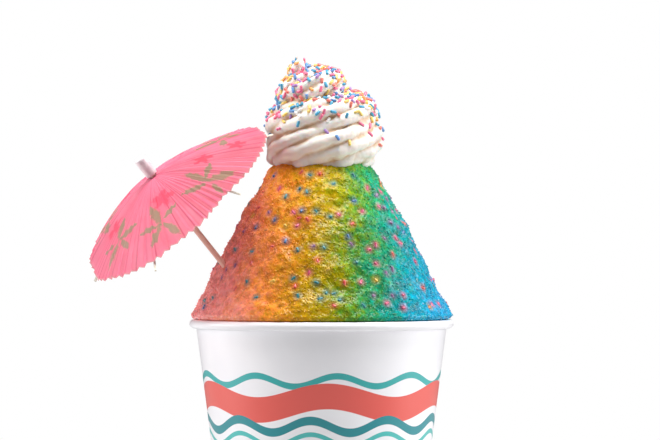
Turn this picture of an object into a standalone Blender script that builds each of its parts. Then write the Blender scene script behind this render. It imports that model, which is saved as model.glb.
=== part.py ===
# A shaved ice dessert: syruped ice heaped over a paper cup, a piped swirl of cream on top,
# coloured sprinkles, and a paper parasol whose wooden pick stands in the ice.
# Metres, +Z up, the front faces -Y, and the origin is the centre of the cup's base.
import math
import random

import bmesh
import bpy
from mathutils import Matrix, Vector, noise

MM = 0.001
GAP = 0.3 * MM  # between neighbouring solids
MERGE = 0.000002

# Paper cup
CUP_HEIGHT = 100 * MM
CUP_BASE_RADIUS = 33.8 * MM
CUP_TAPER = 0.13  # radius gained for each metre of height
CUP_WALL = 0.8 * MM
CUP_STEPS = 56
CUP_FOOT_ROUND = 0.8 * MM
RIM_RADIUS = 49 * MM
RIM_ROLL = 1.65 * MM  # radius of the rolled rim's section
RIM_ROLL_POINTS = 7
RIM_ROLL_FIRST_DEG = 180
RIM_ROLL_LAST_DEG = -125

# Ice: fills the cup, laps over the rim and rises as a blunt cone
ICE_CLEARANCE = 0.35 * MM
ICE_NECK_RADIUS = 45.2 * MM
ICE_LIP_RADIUS = 48.1 * MM
ICE_LIP_HEIGHT = 101.7 * MM
ICE_SHOULDER_RADIUS = 42.2 * MM
ICE_SHOULDER_HEIGHT = 112 * MM
ICE_BROW_RADIUS = 18.8 * MM
ICE_BROW_HEIGHT = 156 * MM
ICE_CROWN_RADIUS = 17.4 * MM
ICE_CROWN_HEIGHT = 159.3 * MM
ICE_CROWN_DROP = 2 * MM
CROWN_SHARES = (0.4, 0.72, 1.0)  # rings on the crown, over its radius
ICE_BULGE = 1.0 * MM
ICE_LIP_ROUND = 0.4 * MM
ICE_NECK_LEDGE = 1 * MM
ICE_NECK_ROUND = 0.6 * MM
ICE_FOOT_RINGS = 4
ICE_SIDE_RINGS = 14
ICE_STEPS = 52
CLUMP_SIZE = 9 * MM
CLUMP_HEIGHT = 1.1 * MM
GRAIN_SIZE = 3.6 * MM
GRAIN_HEIGHT = 0.7 * MM
ROUGH_START = 0.35  # share of the relief that is there at the lip
ROUGH_RISE = 6 * MM  # height over which it grows to all of it
ROUGH_MARGIN = 1 * MM  # smooth ice left under the cream

# Cream: one rope from a star nozzle, coiled upwards and pulled off to a peak on the left
ROPE_START_DEG = -152
# turns round the coil, coil radius, rope radius, height, sideways lean; all but the first in mm
ROPE_STATIONS = (
    (0.0, 12.2, 6.6, 160.6, 0.0),
    (0.9, 13.0, 7.9, 163.4, 0.2),
    (1.4, 14.1, 8.9, 166.9, 0.2),
    (1.9, 12.5, 8.5, 171.6, 0.0),
    (2.4, 12.4, 8.0, 175.8, 0.8),
    (2.9, 8.8, 7.5, 182.6, -0.6),
    (3.4, 5.4, 6.6, 187.2, -3.4),
    (3.75, 3.4, 5.0, 190.4, -5.6),
    (4.0, 1.6, 2.6, 194.0, -7.0),
    (4.2, 0.4, 0.6, 198.0, -8.2),
)
ROPE_LOOK = 0.01  # turns looked ahead and back for the rope's direction
ROPE_RINGS = 190
ROPE_LOBES = 8
ROPE_SIDES = 48
ROPE_GROOVE = 0.27  # groove depth over rope radius
ROPE_TWIST = 0.8  # turns of the lobes for each turn of the coil
ROPE_LOBE_POWER = 0.7
CREAM_CORE_RADIUS = 11 * MM
CREAM_CORE_TOP = 0.5  # radius at its top over that at its bottom
CREAM_CORE_STATION = 5  # the station whose height the core reaches
CREAM_CORE_STEPS = 24
CREAM_VOXEL = 0.8 * MM
CREAM_EASE = 0.5
CREAM_EASE_ROUNDS = 2
CREAM_TRIANGLES = 2600
SEAT_GAP = 0.4 * MM  # between the crown of the ice and the cream
SEAT_SKIRT = 0.8 * MM
SEAT_SKIRT_LIFT = 0.3 * MM
SEAT_FLARE = 14 * MM
SEAT_DROP = 10 * MM
SEAT_DEPTH = 30 * MM

# Sprinkles: short sugar rods, half sunk
SPRINKLE_LENGTH = 2.6 * MM
SPRINKLE_RADIUS = 0.65 * MM
SPRINKLE_SIDES = 6
SPRINKLE_STAND = 0.3  # how far the rod's middle stands off the surface, over its radius
CREAM_SPRINKLES = 52
CREAM_SPRINKLE_SEED = 5
CREAM_SPRINKLE_LOW = 5 * MM  # lowest ones over the crown of the ice
CREAM_SPRINKLE_TILT = -0.35  # how far a surface may turn down and still hold one
ICE_SPRINKLES = 44
ICE_SPRINKLE_SEED = 11
ICE_SPRINKLE_LOW = 3 * MM  # lowest ones over the lip
ICE_SPRINKLE_HIGH = 4 * MM  # highest ones under the brow
ICE_SPRINKLE_PICK = 4.5 * MM  # kept clear round the pick
SPRINKLE_TRIES = 400  # for each sprinkle
SPRINKLE_SPACING = 4.4 * MM

# Parasol: a local frame with its origin at the hub and +Z up along the pick
HUB = (-61.4 * MM, -26 * MM, 152.9 * MM)
PICK_SLOPE_DEG = 52  # below the horizontal, going right
PICK_LEAN_DEG = 17.3  # going away from the front
PICK_RADIUS = 1.05 * MM
PICK_TOP = 5 * MM
PICK_LENGTH = 100 * MM
PICK_POINT = 4 * MM
PICK_TIP = 0.3  # radius of the blunt tip over the pick's
PICK_STEPS = 12
PICK_HOLE_GAP = 0.4 * MM
CANOPY_RADIUS = 42 * MM
CANOPY_DROP = 13.9 * MM
CANOPY_CURVE = 1.55  # power of the meridian
CANOPY_EYE = 1.9 * MM
CANOPY_PAPER = 0.4 * MM
CANOPY_BANDS = 4
PLEATS = 48
PLEAT_HEIGHT = 0.55 * MM
# edge radius over the canopy's radius, every 30 degrees
EDGE_REACH = (0.99, 1.03, 1.02, 1.02, 1.06, 0.96, 0.91, 1.0, 1.04, 0.95, 0.82, 0.92)
RIBS = 6
FIRST_RIB_DEG = 5
RIB_RADIUS = 0.5 * MM
RIB_TIP = 2.2 * MM
RIB_SLACK = 0.25 * MM  # room for the paper's slope and its flat bands
RIB_ROOT = 0.05  # where a rib leaves the hub, over the canopy's radius
RIB_POINTS = 7
HUB_RING_OUTER = 2.7 * MM
HUB_RING_INNER = 1.45 * MM
HUB_RING_HEIGHT = 2.4 * MM
HUB_RING_STEPS = 16
RUNNER_DEPTH = 20 * MM
STRUT_REACH = 0.5  # where a strut meets its rib, over the canopy's radius
STRUT_RADIUS = 0.42 * MM
STRUT_GAP = 0.6 * MM
CAP_RADIUS = 2.25 * MM
CAP_BORE = 1.45 * MM
CAP_LENGTH = 7.8 * MM
CAP_LIFT = 0.75 * MM
CAP_STEPS = 20


def clear_scene():
    for obj in list(bpy.data.objects):
        bpy.data.objects.remove(obj, do_unlink=True)


def new_collection(name):
    collection = bpy.data.collections.new(name)
    bpy.context.scene.collection.children.link(collection)
    return collection


def material(name, colour, roughness, metallic=0.0):
    mat = bpy.data.materials.new(name)
    mat.use_nodes = True
    shader = mat.node_tree.nodes["Principled BSDF"]
    shader.inputs["Base Color"].default_value = (*colour, 1)
    shader.inputs["Roughness"].default_value = roughness
    shader.inputs["Metallic"].default_value = metallic
    return mat


def mesh_object(name, bm, collection, mat=None):
    mesh = bpy.data.meshes.new(name)
    bm.to_mesh(mesh)
    bm.free()
    obj = bpy.data.objects.new(name, mesh)
    collection.objects.link(obj)
    if mat:
        mesh.materials.append(mat)
    return obj


def turned(name, profile, steps, collection, mat=None):
    """A solid of revolution; the profile runs down its outer side."""
    bm = bmesh.new()
    points = [bm.verts.new((r, 0, z)) for r, z in profile]
    for a, b in zip(points, points[1:]):
        bm.edges.new((a, b))
    obj = mesh_object(name, bm, collection, mat)
    screw = obj.modifiers.new("Turn", "SCREW")
    screw.axis = "Z"
    screw.steps = steps
    screw.render_steps = steps
    screw.use_merge_vertices = True
    screw.merge_threshold = MERGE
    return obj


def bake(obj):
    """Replaces an object's mesh by what its modifiers or its curve make of it."""
    bpy.context.view_layer.update()
    graph = bpy.context.evaluated_depsgraph_get()
    mesh = bpy.data.meshes.new_from_object(obj.evaluated_get(graph))
    bm = bmesh.new()
    bm.from_mesh(mesh)
    bmesh.ops.remove_doubles(bm, verts=bm.verts, dist=MERGE)
    bm.to_mesh(mesh)
    bm.free()
    baked = bpy.data.objects.new(obj.name + "_mesh", mesh)
    for collection in obj.users_collection:
        collection.objects.link(baked)
    baked.matrix_world = obj.matrix_world
    name = obj.name
    bpy.data.objects.remove(obj, do_unlink=True)
    baked.name = name
    return baked


def combine(obj, others, operation="UNION", solver="EXACT"):
    """Joins others to obj, or cuts them from it, and removes them."""
    group = bpy.data.collections.new(obj.name + "_tools")
    for other in others:
        group.objects.link(other)
    cut = obj.modifiers.new("Combine", "BOOLEAN")
    cut.operand_type = "COLLECTION"
    cut.collection = group
    cut.operation = operation
    cut.solver = solver
    result = bake(obj)
    for other in others:
        bpy.data.objects.remove(other, do_unlink=True)
    bpy.data.collections.remove(group)
    return result


def keep_largest(obj):
    """Drops loose scraps that a cut or a join may leave."""
    bm = bmesh.new()
    bm.from_mesh(obj.data)
    waiting = set(bm.faces)
    pieces = []
    while waiting:
        seed = waiting.pop()
        piece = [seed]
        front = [seed]
        while front:
            face = front.pop()
            for other in {near for edge in face.edges for near in edge.link_faces} & waiting:
                waiting.remove(other)
                piece.append(other)
                front.append(other)
        pieces.append(piece)
    biggest = max(pieces, key=len)
    scraps = [face for piece in pieces if piece is not biggest for face in piece]
    bmesh.ops.delete(bm, geom=scraps, context="FACES")
    bm.to_mesh(obj.data)
    bm.free()


def smooth_shading(obj, angle_deg=40):
    obj.data.shade_smooth()
    obj.data.set_sharp_from_angle(angle=math.radians(angle_deg))


def cup_radius(z):
    return CUP_BASE_RADIUS + CUP_TAPER * z


def build_cup(collection):
    roll_x = RIM_RADIUS - RIM_ROLL
    roll_z = CUP_HEIGHT - RIM_ROLL
    profile = [(0, CUP_WALL), (cup_radius(CUP_WALL) - CUP_WALL, CUP_WALL)]
    first, last = math.radians(RIM_ROLL_FIRST_DEG), math.radians(RIM_ROLL_LAST_DEG)
    for i in range(RIM_ROLL_POINTS + 1):
        angle = first + (last - first) * i / RIM_ROLL_POINTS
        profile.append((roll_x + RIM_ROLL * math.cos(angle), roll_z + RIM_ROLL * math.sin(angle)))
    profile += [
        (cup_radius(CUP_FOOT_ROUND), CUP_FOOT_ROUND),
        (CUP_BASE_RADIUS - CUP_FOOT_ROUND, 0),
        (0, 0),
    ]
    paper = material("white_cup_paper", (0.86, 0.86, 0.88), 0.45)
    cup = turned("cup", profile, CUP_STEPS, collection, paper)
    smooth_shading(cup)
    return cup


def crown_height(r):
    return ICE_CROWN_HEIGHT - ICE_CROWN_DROP * (r / ICE_CROWN_RADIUS) ** 2


def side_radius(share):
    """Radius of the cone; share runs from 0 at the shoulder to 1 at the brow."""
    straight = ICE_SHOULDER_RADIUS + (ICE_BROW_RADIUS - ICE_SHOULDER_RADIUS) * share
    return straight + ICE_BULGE * math.sin(math.pi * share)


def ice_profile():
    points = [(0, ICE_CROWN_HEIGHT)]
    for share in CROWN_SHARES:
        r = ICE_CROWN_RADIUS * share
        points.append((r, crown_height(r)))
    for i in range(ICE_SIDE_RINGS + 1):
        share = 1 - i / ICE_SIDE_RINGS
        z = ICE_SHOULDER_HEIGHT + (ICE_BROW_HEIGHT - ICE_SHOULDER_HEIGHT) * share
        points.append((side_radius(share), z))
    for i in range(1, ICE_FOOT_RINGS + 1):
        share = i / ICE_FOOT_RINGS
        r = ICE_SHOULDER_RADIUS + (ICE_LIP_RADIUS - ICE_SHOULDER_RADIUS) * share
        points.append((r, ICE_SHOULDER_HEIGHT + (ICE_LIP_HEIGHT - ICE_SHOULDER_HEIGHT) * share))
    underside = CUP_HEIGHT + ICE_CLEARANCE
    floor = CUP_WALL + ICE_CLEARANCE
    points += [
        (ICE_LIP_RADIUS - ICE_LIP_ROUND, underside + ICE_LIP_ROUND / 2),
        (ICE_NECK_RADIUS + ICE_NECK_LEDGE, underside),
        (ICE_NECK_RADIUS, underside - ICE_NECK_ROUND),
        (ICE_NECK_RADIUS, CUP_HEIGHT - 2 * RIM_ROLL),
        (cup_radius(floor) - CUP_WALL - ICE_CLEARANCE, floor),
        (0, floor),
    ]
    return points


def roughen(obj):
    """Raises clumps and grains on the ice that stands clear of the cup and the cream."""
    bm = bmesh.new()
    bm.from_mesh(obj.data)
    bm.normal_update()
    moves = []
    for vert in bm.verts:
        if not ICE_LIP_HEIGHT - MERGE < vert.co.z < ICE_BROW_HEIGHT - ROUGH_MARGIN:
            continue
        clump = CLUMP_HEIGHT * noise.noise(vert.co / CLUMP_SIZE)
        grain = GRAIN_HEIGHT * noise.noise(vert.co / GRAIN_SIZE)
        foot = min(1, (vert.co.z - ICE_LIP_HEIGHT) / ROUGH_RISE + ROUGH_START)
        moves.append((vert, vert.normal * (clump + grain) * foot))
    for vert, move in moves:
        vert.co += move
    bm.to_mesh(obj.data)
    bm.free()


def sprinkle(name, collection, point, normal, spin):
    """One sugar rod lying on a surface, sunk to just under its middle."""
    bm = bmesh.new()
    bmesh.ops.create_cone(
        bm,
        cap_ends=True,
        segments=SPRINKLE_SIDES,
        radius1=SPRINKLE_RADIUS,
        radius2=SPRINKLE_RADIUS,
        depth=SPRINKLE_LENGTH,
    )
    obj = mesh_object(name, bm, collection)
    up = normal.normalized()
    along = up.orthogonal().normalized()
    along = Matrix.Rotation(spin, 3, up) @ along
    across = up.cross(along)
    turn = Matrix((across, up, along)).transposed().to_4x4()
    obj.data.transform(Matrix.Translation(point + up * SPRINKLE_STAND * SPRINKLE_RADIUS) @ turn)
    return obj


def scatter(obj, count, seed, allowed):
    """Random points on a mesh, by area, no nearer to each other than the sprinkles' spacing."""
    rng = random.Random(seed)
    mesh = obj.data
    mesh.calc_loop_triangles()
    triangles = [
        ([mesh.vertices[i].co.copy() for i in tri.vertices], tri.normal.copy())
        for tri in mesh.loop_triangles
    ]
    areas = [tri.area for tri in mesh.loop_triangles]
    found = []
    for _ in range(count * SPRINKLE_TRIES):
        corners, normal = rng.choices(triangles, areas)[0]
        a, b = sorted((rng.random(), rng.random()))
        point = corners[0] * a + corners[1] * (b - a) + corners[2] * (1 - b)
        spin = rng.uniform(0, math.pi)
        if not allowed(point, normal):
            continue
        if all((point - other).length > SPRINKLE_SPACING for other, _, _ in found):
            found.append((point, normal, spin))
        if len(found) == count:
            break
    return found


def add_sprinkles(obj, count, seed, allowed, helpers):
    rods = [
        sprinkle(f"{obj.name}_rod_{i}", helpers, point, normal, spin)
        for i, (point, normal, spin) in enumerate(scatter(obj, count, seed, allowed))
    ]
    return combine(obj, rods, solver="MANIFOLD")


def parasol_matrix():
    slope, lean = math.radians(PICK_SLOPE_DEG), math.radians(PICK_LEAN_DEG)
    down = Vector(
        (
            math.cos(slope) * math.cos(lean),
            math.sin(lean),
            -math.sin(slope) * math.cos(lean),
        )
    )
    side = down.cross(Vector((0, 1, 0))).normalized()
    up = -down
    turn = Matrix((side, up.cross(side), up)).transposed().to_4x4()
    return Matrix.Translation(HUB) @ turn


def build_ice(collection, helpers):
    syrup_ice = material("syruped_shaved_ice", (0.75, 0.5, 0.12), 0.35)
    ice = bake(turned("ice", ice_profile(), ICE_STEPS, collection, syrup_ice))
    roughen(ice)
    frame = parasol_matrix()
    hub, up = frame.translation, frame.col[2].to_3d()

    def allowed(point, normal):
        low, high = ICE_LIP_HEIGHT + ICE_SPRINKLE_LOW, ICE_BROW_HEIGHT - ICE_SPRINKLE_HIGH
        from_pick = (point - hub).cross(up).length
        return low < point.z < high and (from_pick > ICE_SPRINKLE_PICK or point.y > 0)

    ice = add_sprinkles(ice, ICE_SPRINKLES, ICE_SPRINKLE_SEED, allowed, helpers)
    bore = PICK_RADIUS + PICK_HOLE_GAP
    end = PICK_TOP - PICK_LENGTH - ICE_CLEARANCE
    hole = turned("pick_hole", [(0, 0), (bore, 0), (bore, end), (0, end)], PICK_STEPS, helpers)
    hole.matrix_world = frame
    ice = combine(ice, [bake(hole)], operation="DIFFERENCE", solver="MANIFOLD")
    keep_largest(ice)
    smooth_shading(ice)
    return ice


def station(turns):
    """Coil radius, rope radius, height and lean at a place along the rope, eased between stations."""
    for low, high in zip(ROPE_STATIONS, ROPE_STATIONS[1:]):
        if turns <= high[0]:
            break
    share = (turns - low[0]) / (high[0] - low[0])
    return [(a + (b - a) * share) * MM for a, b in zip(low[1:], high[1:])]


def rope_point(turns):
    coil, _, height, lean = station(turns)
    angle = math.radians(ROPE_START_DEG) + 2 * math.pi * turns
    return Vector((lean + coil * math.cos(angle), coil * math.sin(angle), height))


def build_rope(helpers):
    """The star-shaped rope, one ring of points after another, closed at both ends."""
    bm = bmesh.new()
    last = ROPE_STATIONS[-1][0]
    rings = []
    for i in range(ROPE_RINGS + 1):
        turns = last * i / ROPE_RINGS
        centre = rope_point(turns)
        ahead, behind = min(last, turns + ROPE_LOOK), max(0, turns - ROPE_LOOK)
        along = (rope_point(ahead) - rope_point(behind)).normalized()
        angle = math.radians(ROPE_START_DEG) + 2 * math.pi * turns
        outward = Vector((math.cos(angle), math.sin(angle), 0))
        outward = (outward - along * outward.dot(along)).normalized()
        across = along.cross(outward)
        radius = station(turns)[1]
        ring = []
        for j in range(ROPE_SIDES):
            around = 2 * math.pi * j / ROPE_SIDES
            phase = math.pi * ROPE_TWIST * ROPE_LOBES * turns
            lobe = abs(math.sin(ROPE_LOBES / 2 * around + phase))
            r = radius * (1 - ROPE_GROOVE * (1 - lobe**ROPE_LOBE_POWER))
            spot = centre + outward * r * math.cos(around) + across * r * math.sin(around)
            ring.append(bm.verts.new(spot))
        rings.append(ring)
    for ring, after in zip(rings, rings[1:]):
        for j in range(ROPE_SIDES):
            k = (j + 1) % ROPE_SIDES
            bm.faces.new((ring[j], ring[k], after[k], after[j]))
    bm.faces.new(list(reversed(rings[0])))
    bm.faces.new(rings[-1])
    bmesh.ops.recalc_face_normals(bm, faces=bm.faces)
    return mesh_object("rope", bm, helpers)


def build_cream(collection, helpers):
    whipped = material("whipped_cream", (0.93, 0.89, 0.8), 0.5)
    rope = build_rope(helpers)
    bottom = ICE_BROW_HEIGHT
    top = ROPE_STATIONS[CREAM_CORE_STATION][3] * MM
    narrow = CREAM_CORE_TOP * CREAM_CORE_RADIUS
    core_profile = [(0, top), (narrow, top), (CREAM_CORE_RADIUS, bottom), (0, bottom)]
    core = turned("core", core_profile, CREAM_CORE_STEPS, helpers)
    bm = bmesh.new()
    for obj in (bake(rope), bake(core)):
        bm.from_mesh(obj.data)
        bpy.data.objects.remove(obj, do_unlink=True)
    cream = mesh_object("cream", bm, collection, whipped)
    fuse = cream.modifiers.new("Fuse", "REMESH")
    fuse.mode = "VOXEL"
    fuse.voxel_size = CREAM_VOXEL
    fuse.adaptivity = 0
    ease = cream.modifiers.new("Ease", "SMOOTH")
    ease.factor = CREAM_EASE
    ease.iterations = CREAM_EASE_ROUNDS
    cream = bake(cream)
    thin = cream.modifiers.new("Thin", "DECIMATE")
    thin.ratio = min(1, CREAM_TRIANGLES / (2 * len(cream.data.polygons)))
    thin.use_collapse_triangulate = True
    cream = bake(cream)

    def allowed(point, normal):
        return point.z > ICE_CROWN_HEIGHT + CREAM_SPRINKLE_LOW and normal.z > CREAM_SPRINKLE_TILT

    cream = add_sprinkles(cream, CREAM_SPRINKLES, CREAM_SPRINKLE_SEED, allowed, helpers)
    seat = [(0, ICE_CROWN_HEIGHT + SEAT_GAP)]
    for share in CROWN_SHARES:
        r = ICE_CROWN_RADIUS * share
        seat.append((r, crown_height(r) + SEAT_GAP))
    seat += [
        (ICE_BROW_RADIUS + SEAT_SKIRT, ICE_BROW_HEIGHT + SEAT_SKIRT_LIFT),
        (ICE_BROW_RADIUS + SEAT_FLARE, ICE_BROW_HEIGHT - SEAT_DROP),
        (ICE_BROW_RADIUS + SEAT_FLARE, ICE_BROW_HEIGHT - SEAT_DEPTH),
        (0, ICE_BROW_HEIGHT - SEAT_DEPTH),
    ]
    cutter = bake(turned("seat", seat, ICE_STEPS, helpers))
    cream = combine(cream, [cutter], operation="DIFFERENCE", solver="MANIFOLD")
    keep_largest(cream)
    smooth_shading(cream)
    return cream


def rib_angle(i):
    return math.radians(FIRST_RIB_DEG) + 2 * math.pi * i / RIBS


def reach(angle):
    """Edge radius over the canopy's radius, eased between the twelve places."""
    place = angle / (2 * math.pi) * len(EDGE_REACH) % len(EDGE_REACH)
    i = int(place)
    share = 0.5 - 0.5 * math.cos(math.pi * (place - i))
    after = EDGE_REACH[(i + 1) % len(EDGE_REACH)]
    return EDGE_REACH[i] + (after - EDGE_REACH[i]) * share


def canopy_depth(share):
    return -CANOPY_DROP * share**CANOPY_CURVE


def build_canopy(collection, frame):
    pink_paper = material("pink_parasol_paper", (0.91, 0.27, 0.39), 0.7)
    bm = bmesh.new()
    rings = []
    eye = CANOPY_EYE / CANOPY_RADIUS
    for i in range(CANOPY_BANDS + 1):
        share = eye + (1 - eye) * i / CANOPY_BANDS
        ring = []
        for j in range(2 * PLEATS):
            angle = math.pi * j / PLEATS
            r = CANOPY_RADIUS * (share * reach(angle) if i else eye)
            fold = PLEAT_HEIGHT * share * (1 if j % 2 else -1)
            height = canopy_depth(share) + fold
            ring.append(bm.verts.new((r * math.cos(angle), r * math.sin(angle), height)))
        rings.append(ring)
    for ring, after in zip(rings, rings[1:]):
        for j in range(2 * PLEATS):
            k = (j + 1) % (2 * PLEATS)
            bm.faces.new((ring[j], after[j], after[k], ring[k]))
    canopy = mesh_object("parasol_canopy", bm, collection, pink_paper)
    paper = canopy.modifiers.new("Paper", "SOLIDIFY")
    paper.thickness = CANOPY_PAPER
    paper.offset = 0
    canopy.matrix_world = frame
    return canopy


def bar(name, points, radius, collection, frame):
    """A thin straight or bent stick, four-sided, with filled ends, as a mesh."""
    curve = bpy.data.curves.new(name, "CURVE")
    curve.dimensions = "3D"
    curve.bevel_depth = radius
    curve.bevel_resolution = 0
    curve.use_fill_caps = True
    spline = curve.splines.new("POLY")
    spline.points.add(len(points) - 1)
    for target, point in zip(spline.points, points):
        target.co = (*point, 1)
    obj = bpy.data.objects.new(name, curve)
    collection.objects.link(obj)
    obj.matrix_world = frame
    return bake(obj)


def ring_solid(name, inner, outer, top, height, collection, mat, frame, steps=HUB_RING_STEPS):
    """A plain ring round the pick."""
    profile = [(inner, top), (outer, top), (outer, top - height), (inner, top - height), (inner, top)]
    obj = turned(name, profile, steps, collection, mat)
    obj.matrix_world = frame
    return bake(obj)


def rib_height(share):
    """Centre line of the ribs, just under the folds of the paper."""
    below = CANOPY_PAPER / 2 + PLEAT_HEIGHT * share + GAP + RIB_RADIUS
    return canopy_depth(share) - below - RIB_SLACK


def build_ribs(collection, helpers, frame):
    split_wood = material("pale_split_wood", (0.72, 0.62, 0.5), 0.6)
    top = rib_height(0) + RIB_RADIUS
    ring = ring_solid(
        "parasol_ribs", HUB_RING_INNER, HUB_RING_OUTER, top, HUB_RING_HEIGHT, collection, split_wood, frame
    )
    ribs = []
    for i in range(RIBS):
        angle = rib_angle(i)
        points = []
        full = CANOPY_RADIUS * reach(angle)
        last = 1 + RIB_TIP / full
        for j in range(RIB_POINTS):
            share = RIB_ROOT + (last - RIB_ROOT) * j / (RIB_POINTS - 1)
            r = full * share
            points.append((r * math.cos(angle), r * math.sin(angle), rib_height(share)))
        ribs.append(bar(f"rib_{i}", points, RIB_RADIUS, helpers, frame))
    return combine(ring, ribs)


def build_struts(collection, helpers, frame):
    split_wood = material("pale_split_wood_struts", (0.74, 0.64, 0.52), 0.6)
    ring = ring_solid(
        "parasol_struts",
        HUB_RING_INNER,
        HUB_RING_OUTER,
        -RUNNER_DEPTH,
        HUB_RING_HEIGHT,
        collection,
        split_wood,
        frame,
    )
    struts = []
    for i in range(RIBS):
        angle = rib_angle(i)
        far = CANOPY_RADIUS * STRUT_REACH * reach(angle)
        near = (HUB_RING_INNER + HUB_RING_OUTER) / 2
        end_height = rib_height(STRUT_REACH) - RIB_RADIUS - STRUT_RADIUS - STRUT_GAP
        points = [
            (near * math.cos(angle), near * math.sin(angle), -RUNNER_DEPTH - HUB_RING_HEIGHT / 2),
            (far * math.cos(angle), far * math.sin(angle), end_height),
        ]
        struts.append(bar(f"strut_{i}", points, STRUT_RADIUS, helpers, frame))
    return combine(ring, struts)


def build_pick(collection, frame):
    wood = material("round_wooden_pick", (0.62, 0.36, 0.24), 0.55)
    end = PICK_TOP - PICK_LENGTH
    profile = [
        (0, PICK_TOP),
        (PICK_RADIUS, PICK_TOP),
        (PICK_RADIUS, end + PICK_POINT),
        (PICK_TIP * PICK_RADIUS, end),
        (0, end),
    ]
    pick = turned("parasol_pick", profile, PICK_STEPS, collection, wood)
    smooth_shading(pick)
    pick.matrix_world = frame
    return pick


def build_cap(collection, frame):
    sleeve = material("clear_plastic_sleeve", (0.8, 0.76, 0.77), 0.3)
    top = CAP_LIFT + CAP_LENGTH
    return ring_solid(
        "parasol_cap", CAP_BORE, CAP_RADIUS, top, CAP_LENGTH, collection, sleeve, frame, CAP_STEPS
    )


def main():
    clear_scene()
    collection = new_collection("shaved_ice_dessert")
    helpers = new_collection("helpers")
    build_cup(collection)
    build_ice(collection, helpers)
    build_cream(collection, helpers)
    frame = parasol_matrix()
    build_canopy(collection, frame)
    build_ribs(collection, helpers, frame)
    build_struts(collection, helpers, frame)
    build_pick(collection, frame)
    build_cap(collection, frame)


main()
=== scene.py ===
import math

import bmesh
import bpy
import numpy as np
from mathutils import Matrix, Vector, noise


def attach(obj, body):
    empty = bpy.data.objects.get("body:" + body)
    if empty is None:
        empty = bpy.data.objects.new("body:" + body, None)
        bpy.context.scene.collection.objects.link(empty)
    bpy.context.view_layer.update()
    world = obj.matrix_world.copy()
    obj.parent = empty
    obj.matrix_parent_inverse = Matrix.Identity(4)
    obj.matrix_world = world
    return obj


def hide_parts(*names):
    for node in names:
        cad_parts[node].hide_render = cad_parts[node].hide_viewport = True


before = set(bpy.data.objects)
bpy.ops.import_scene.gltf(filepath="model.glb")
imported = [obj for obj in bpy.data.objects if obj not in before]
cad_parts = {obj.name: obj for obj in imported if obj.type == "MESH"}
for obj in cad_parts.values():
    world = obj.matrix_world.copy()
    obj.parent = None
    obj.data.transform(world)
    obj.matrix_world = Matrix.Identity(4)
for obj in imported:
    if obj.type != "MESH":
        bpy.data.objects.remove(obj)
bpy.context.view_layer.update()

mm = 0.001
seed = 7


def deselectAll():
    if bpy.context.mode != "OBJECT":
        bpy.ops.object.mode_set(mode="OBJECT")
    bpy.ops.object.select_all(action="DESELECT")


def pick(piece):
    deselectAll()
    bpy.context.view_layer.objects.active = piece
    piece.select_set(True)


def applied(piece, kind, **settings):
    # adds one modifier and applies it at once
    pick(piece)
    made = piece.modifiers.new(kind.capitalize(), kind)
    for name, value in settings.items():
        setattr(made, name, value)
    bpy.ops.object.modifier_apply(modifier=made.name)


def smoothByAngle(piece, degrees):
    pick(piece)
    bpy.ops.object.shade_smooth_by_angle(angle=math.radians(degrees))


def sortFaces(piece):
    # edit mode leaves the faces in an order that changes from run to run, and random draws go by it
    mesh = piece.data
    points = [vert.co.copy() for vert in mesh.vertices]
    faces = []
    for face in mesh.polygons:
        corners = list(face.vertices)
        first = corners.index(min(corners))
        faces.append(corners[first:] + corners[:first])
    mesh.clear_geometry()
    mesh.from_pydata(points, [], sorted(faces))
    mesh.update()


def spinProfile(name, points, steps):
    # one vertex is extruded along the profile, and the line is spun round the cup's axis
    deselectAll()
    bpy.ops.mesh.primitive_plane_add(size=mm, location=(points[0][0], 0, points[0][1]))
    piece = bpy.context.object
    piece.name = name
    bpy.ops.object.mode_set(mode="EDIT")
    bpy.ops.mesh.select_mode(type="VERT")
    bpy.ops.mesh.merge(type="CENTER")
    for (r, z), (nextR, nextZ) in zip(points, points[1:]):
        bpy.ops.mesh.extrude_region_move(TRANSFORM_OT_translate={"value": (nextR - r, 0, nextZ - z)})
    bpy.ops.mesh.select_all(action="SELECT")
    bpy.ops.mesh.spin(steps=steps, angle=2 * math.pi, center=(0, 0, 0), axis=(0, 0, 1))
    bpy.ops.mesh.select_all(action="SELECT")
    bpy.ops.mesh.remove_doubles(threshold=0.01 * mm)
    bpy.ops.mesh.normals_make_consistent(inside=False)
    bpy.ops.object.mode_set(mode="OBJECT")
    bpy.ops.object.transform_apply(location=True, rotation=True, scale=True)
    sortFaces(piece)
    return piece


def pushOut(piece, amount):
    # moves each point along its normal; the normals are read first, as each move would renew them
    normals = [vert.normal.copy() for vert in piece.data.vertices]
    for vert, normal in zip(piece.data.vertices, normals):
        vert.co += normal * amount(vert.co)
    piece.data.update()


def pieceFrom(name, points, faces):
    mesh = bpy.data.meshes.new(name)
    mesh.from_pydata(points, [], faces)
    mesh.update()
    piece = bpy.data.objects.new(name, mesh)
    bpy.context.scene.collection.objects.link(piece)
    return piece


def linear(hexColour):
    # sRGB hex to the linear colour that shaders take
    parts = [int(hexColour[i : i + 2], 16) / 255 for i in (0, 2, 4)]
    return [c / 12.92 if c <= 0.04045 else ((c + 0.055) / 1.055) ** 2.4 for c in parts] + [1]


def addNode(tree, kind, values=None, links=None, stops=None, **settings):
    # values fill sockets, links feed them, stops are a colour ramp's, settings are the node's own
    made = tree.nodes.new(kind)
    for name, value in settings.items():
        setattr(made, name, value)
    for socket, value in (values or {}).items():
        made.inputs[socket].default_value = value
    for socket, source in (links or {}).items():
        tree.links.new(source, made.inputs[socket])
    if stops:
        elements = made.color_ramp.elements
        elements.remove(elements[1])
        elements[0].position, elements[0].color = stops[0]
        for place, colour in stops[1:]:
            elements.new(place).color = colour
    return made


def startMaterial(name, values):
    made = bpy.data.materials.new(name)
    made.use_nodes = True
    shader = made.node_tree.nodes["Principled BSDF"]
    for socket, value in values.items():
        shader.inputs[socket].default_value = value
    return made, made.node_tree, shader


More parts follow.
